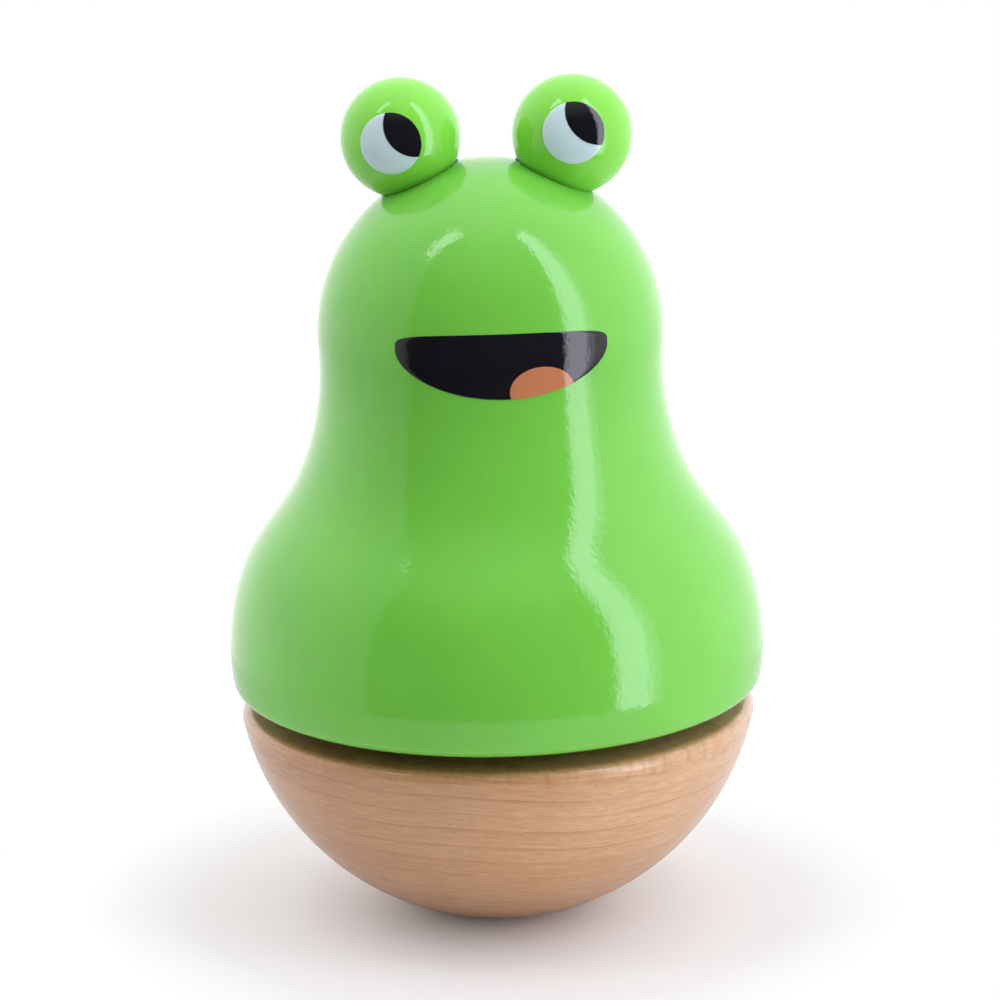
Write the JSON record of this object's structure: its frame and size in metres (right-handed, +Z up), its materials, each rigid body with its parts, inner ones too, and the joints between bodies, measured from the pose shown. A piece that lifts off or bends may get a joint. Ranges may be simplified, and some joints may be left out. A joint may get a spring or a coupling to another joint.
{
  "type": "wind-up roly-poly music box",
  "caption": "Turned wooden frog on a weighted round bowl; turning the frog winds a spring movement, and it turns back while a pinned drum plucks a comb.",
  "frame": {"origin": "middle of the flat foot, on the surface that the toy stands on", "axes": "+Z up along the turning axis, the face looks along -Y, +X to the right of the face as seen"},
  "size_m": [0.1, 0.1, 0.1577],
  "materials": {
    "green_lacquer": "gloss lacquer on wood",
    "eye_lacquer": "gloss lacquer on wood",
    "beech": "satin clear lacquer",
    "white_print": "printed lacquer",
    "black_print": "printed lacquer",
    "tongue_print": "printed lacquer",
    "steel": "bright turned steel",
    "blued_steel": "blued spring steel",
    "brass": "drawn and turned brass",
    "zinc": "die-cast zinc",
    "lead": "dull lead",
    "nylon": "natural nylon"
  },
  "bodies": {
    "base": {"base_bowl": "beech", "ballast_weight": "steel", "ballast_screw": "steel", "hub_plug": "beech", "threaded_insert": "brass", "thrust_washer": "nylon", "winding_arbor": "steel", "great_wheel": "brass", "ratchet_wheel": "blued_steel", "retaining_clip": "steel", "click_post": "steel", "click_spring": "blued_steel"},
    "click": {"click_pawl": "steel"},
    "frog": {"body_shell": "green_lacquer", "floor_disc": "green_lacquer", "floor_screws": "steel", "eye_left": "eye_lacquer", "eye_right": "eye_lacquer", "eye_dowels": "beech", "eye_white_left": "white_print", "eye_white_right": "white_print", "pupil_left": "black_print", "pupil_right": "black_print", "mouth_print": "black_print", "tongue_print": "tongue_print", "bedplate": "zinc", "movement_screws": "steel", "spring_housing": "brass", "housing_rivets": "steel", "mainspring": "blued_steel", "comb": "steel", "comb_weights": "lead", "comb_screws": "steel", "governor_bridge": "zinc", "bridge_screws": "steel"},
    "drum": {"pin_drum": "brass", "drum_caps": "brass", "drum_shaft": "steel", "drum_pinion": "brass", "drum_gear": "brass"},
    "second_wheel": {"second_arbor": "steel", "second_pinion": "steel", "worm_wheel": "brass"},
    "governor": {"governor_spindle": "steel", "governor_worm": "brass", "governor_fan": "nylon"}
  },
  "joints": [
    {"name": "frog_turn", "type": "hinge", "parent": "base", "child": "frog", "pos_m": [0, 0, 0.0492], "axis": [0, 0, 1], "range_deg": [-1350, 0], "stiffness_Nm_per_rad": 0.0015, "deforming": ["mainspring"]},
    {"name": "click_lift", "type": "hinge", "parent": "base", "child": "click", "pos_m": [0.00613, 0.00514, 0.0603], "axis": [0, 0, 1], "range_deg": [-14, 0], "stiffness_Nm_per_rad": 0.0001, "springref_deg": 5.73, "deforming": ["click_spring"]},
    {"name": "drum_spin", "type": "hinge", "parent": "frog", "child": "drum", "pos_m": [0.02, 0, 0.06522], "axis": [1, 0, 0], "continuous": true},
    {"name": "second_wheel_spin", "type": "hinge", "parent": "frog", "child": "second_wheel", "pos_m": [0.02, 0.0116, 0.06522], "axis": [1, 0, 0], "continuous": true},
    {"name": "governor_spin", "type": "hinge", "parent": "frog", "child": "governor", "pos_m": [0.0262, 0.01617, 0.0492], "axis": [0, 0, 1], "continuous": true}
  ],
  "couplings": [
    {"joint": "drum_spin", "follows": "frog_turn", "ratio": -3},
    {"joint": "second_wheel_spin", "follows": "frog_turn", "ratio": 14.4},
    {"joint": "governor_spin", "follows": "frog_turn", "ratio": -288}
  ]
}
